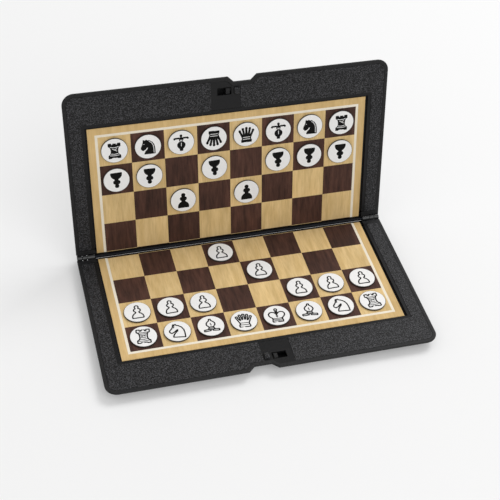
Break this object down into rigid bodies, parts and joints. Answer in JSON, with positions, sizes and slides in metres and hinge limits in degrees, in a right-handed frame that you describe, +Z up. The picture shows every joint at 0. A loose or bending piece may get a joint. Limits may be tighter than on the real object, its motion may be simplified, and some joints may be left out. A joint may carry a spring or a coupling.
{
  "type": "pocket chess set",
  "caption": "Folding pocket chess set: slim black plastic case opened like a book, with a printed board on steel plates inside and flat magnetic discs as chess men.",
  "frame": {"origin": "middle of the base half's flat underside", "axes": "+Z up, +X along the hinge to the viewer's right, +Y from the thumb edge of the base to the hinge"},
  "size_m": [0.165, 0.1141, 0.0975],
  "materials": {
    "case_black": "smooth satin black moulded plastic",
    "frame_black": "finely grained black moulded plastic",
    "plate_steel": "plain rolled steel sheet",
    "board_print": "matt printed sheet with light and dark wood squares",
    "rod_steel": "darkened steel rod",
    "disc_white": "white printed magnetic disc"
  },
  "bodies": {
    "base": {"base_shell": "case_black", "base_frame": "frame_black", "base_plate": "plate_steel", "base_board": "board_print", "hinge_rod": "rod_steel"},
    "lid": {"lid_shell": "case_black", "lid_frame": "frame_black", "lid_plate": "plate_steel", "lid_board": "board_print"},
    "black_bishop_c8": {"black_bishop_c8": "disc_white"},
    "black_bishop_f8": {"black_bishop_f8": "disc_white"},
    "black_king_e8": {"black_king_e8": "disc_white"},
    "black_knight_b8": {"black_knight_b8": "disc_white"},
    "black_knight_g8": {"black_knight_g8": "disc_white"},
    "black_pawn_a7": {"black_pawn_a7": "disc_white"},
    "black_pawn_b7": {"black_pawn_b7": "disc_white"},
    "black_pawn_c6": {"black_pawn_c6": "disc_white"},
    "black_pawn_d7": {"black_pawn_d7": "disc_white"},
    "black_pawn_e6": {"black_pawn_e6": "disc_white"},
    "black_pawn_f7": {"black_pawn_f7": "disc_white"},
    "black_pawn_g7": {"black_pawn_g7": "disc_white"},
    "black_pawn_h7": {"black_pawn_h7": "disc_white"},
    "black_queen_d8": {"black_queen_d8": "disc_white"},
    "black_rook_a8": {"black_rook_a8": "disc_white"},
    "black_rook_h8": {"black_rook_h8": "disc_white"},
    "white_bishop_c1": {"white_bishop_c1": "disc_white"},
    "white_bishop_f1": {"white_bishop_f1": "disc_white"},
    "white_king_e1": {"white_king_e1": "disc_white"},
    "white_knight_b1": {"white_knight_b1": "disc_white"},
    "white_knight_g1": {"white_knight_g1": "disc_white"},
    "white_pawn_a2": {"white_pawn_a2": "disc_white"},
    "white_pawn_b2": {"white_pawn_b2": "disc_white"},
    "white_pawn_c2": {"white_pawn_c2": "disc_white"},
    "white_pawn_d4": {"white_pawn_d4": "disc_white"},
    "white_pawn_e3": {"white_pawn_e3": "disc_white"},
    "white_pawn_f2": {"white_pawn_f2": "disc_white"},
    "white_pawn_g2": {"white_pawn_g2": "disc_white"},
    "white_pawn_h2": {"white_pawn_h2": "disc_white"},
    "white_queen_d1": {"white_queen_d1": "disc_white"},
    "white_rook_a1": {"white_rook_a1": "disc_white"},
    "white_rook_h1": {"white_rook_h1": "disc_white"}
  },
  "joints": [
    {"name": "lid_hinge", "type": "hinge", "parent": "base", "child": "lid", "pos_m": [0, 0.04398, 0.006], "axis": [-1, 0, 0], "range_deg": [-100, 80]},
    {"name": "black_bishop_c8_lift", "type": "slide", "parent": "lid", "child": "black_bishop_c8", "axis": [0, -0.9848, 0.1736], "range_m": [0, 0.01]},
    {"name": "black_bishop_f8_lift", "type": "slide", "parent": "lid", "child": "black_bishop_f8", "axis": [0, -0.9848, 0.1736], "range_m": [0, 0.01]},
    {"name": "black_king_e8_lift", "type": "slide", "parent": "lid", "child": "black_king_e8", "axis": [0, -0.9848, 0.1736], "range_m": [0, 0.01]},
    {"name": "black_knight_b8_lift", "type": "slide", "parent": "lid", "child": "black_knight_b8", "axis": [0, -0.9848, 0.1736], "range_m": [0, 0.01]},
    {"name": "black_knight_g8_lift", "type": "slide", "parent": "lid", "child": "black_knight_g8", "axis": [0, -0.9848, 0.1736], "range_m": [0, 0.01]},
    {"name": "black_pawn_a7_lift", "type": "slide", "parent": "lid", "child": "black_pawn_a7", "axis": [0, -0.9848, 0.1736], "range_m": [0, 0.01]},
    {"name": "black_pawn_b7_lift", "type": "slide", "parent": "lid", "child": "black_pawn_b7", "axis": [0, -0.9848, 0.1736], "range_m": [0, 0.01]},
    {"name": "black_pawn_c6_lift", "type": "slide", "parent": "lid", "child": "black_pawn_c6", "axis": [0, -0.9848, 0.1736], "range_m": [0, 0.01]},
    {"name": "black_pawn_d7_lift", "type": "slide", "parent": "lid", "child": "black_pawn_d7", "axis": [0, -0.9848, 0.1736], "range_m": [0, 0.01]},
    {"name": "black_pawn_e6_lift", "type": "slide", "parent": "lid", "child": "black_pawn_e6", "axis": [0, -0.9848, 0.1736], "range_m": [0, 0.01]},
    {"name": "black_pawn_f7_lift", "type": "slide", "parent": "lid", "child": "black_pawn_f7", "axis": [0, -0.9848, 0.1736], "range_m": [0, 0.01]},
    {"name": "black_pawn_g7_lift", "type": "slide", "parent": "lid", "child": "black_pawn_g7", "axis": [0, -0.9848, 0.1736], "range_m": [0, 0.01]},
    {"name": "black_pawn_h7_lift", "type": "slide", "parent": "lid", "child": "black_pawn_h7", "axis": [0, -0.9848, 0.1736], "range_m": [0, 0.01]},
    {"name": "black_queen_d8_lift", "type": "slide", "parent": "lid", "child": "black_queen_d8", "axis": [0, -0.9848, 0.1736], "range_m": [0, 0.01]},
    {"name": "black_rook_a8_lift", "type": "slide", "parent": "lid", "child": "black_rook_a8", "axis": [0, -0.9848, 0.1736], "range_m": [0, 0.01]},
    {"name": "black_rook_h8_lift", "type": "slide", "parent": "lid", "child": "black_rook_h8", "axis": [0, -0.9848, 0.1736], "range_m": [0, 0.01]},
    {"name": "white_bishop_c1_lift", "type": "slide", "parent": "base", "child": "white_bishop_c1", "axis": [0, 0, 1], "range_m": [0, 0.01]},
    {"name": "white_bishop_f1_lift", "type": "slide", "parent": "base", "child": "white_bishop_f1", "axis": [0, 0, 1], "range_m": [0, 0.01]},
    {"name": "white_king_e1_lift", "type": "slide", "parent": "base", "child": "white_king_e1", "axis": [0, 0, 1], "range_m": [0, 0.01]},
    {"name": "white_knight_b1_lift", "type": "slide", "parent": "base", "child": "white_knight_b1", "axis": [0, 0, 1], "range_m": [0, 0.01]},
    {"name": "white_knight_g1_lift", "type": "slide", "parent": "base", "child": "white_knight_g1", "axis": [0, 0, 1], "range_m": [0, 0.01]},
    {"name": "white_pawn_a2_lift", "type": "slide", "parent": "base", "child": "white_pawn_a2", "axis": [0, 0, 1], "range_m": [0, 0.01]},
    {"name": "white_pawn_b2_lift", "type": "slide", "parent": "base", "child": "white_pawn_b2", "axis": [0, 0, 1], "range_m": [0, 0.01]},
    {"name": "white_pawn_c2_lift", "type": "slide", "parent": "base", "child": "white_pawn_c2", "axis": [0, 0, 1], "range_m": [0, 0.01]},
    {"name": "white_pawn_d4_lift", "type": "slide", "parent": "base", "child": "white_pawn_d4", "axis": [0, 0, 1], "range_m": [0, 0.01]},
    {"name": "white_pawn_e3_lift", "type": "slide", "parent": "base", "child": "white_pawn_e3", "axis": [0, 0, 1], "range_m": [0, 0.01]},
    {"name": "white_pawn_f2_lift", "type": "slide", "parent": "base", "child": "white_pawn_f2", "axis": [0, 0, 1], "range_m": [0, 0.01]},
    {"name": "white_pawn_g2_lift", "type": "slide", "parent": "base", "child": "white_pawn_g2", "axis": [0, 0, 1], "range_m": [0, 0.01]},
    {"name": "white_pawn_h2_lift", "type": "slide", "parent": "base", "child": "white_pawn_h2", "axis": [0, 0, 1], "range_m": [0, 0.01]},
    {"name": "white_queen_d1_lift", "type": "slide", "parent": "base", "child": "white_queen_d1", "axis": [0, 0, 1], "range_m": [0, 0.01]},
    {"name": "white_rook_a1_lift", "type": "slide", "parent": "base", "child": "white_rook_a1", "axis": [0, 0, 1], "range_m": [0, 0.01]},
    {"name": "white_rook_h1_lift", "type": "slide", "parent": "base", "child": "white_rook_h1", "axis": [0, 0, 1], "range_m": [0, 0.01]}
  ]
}
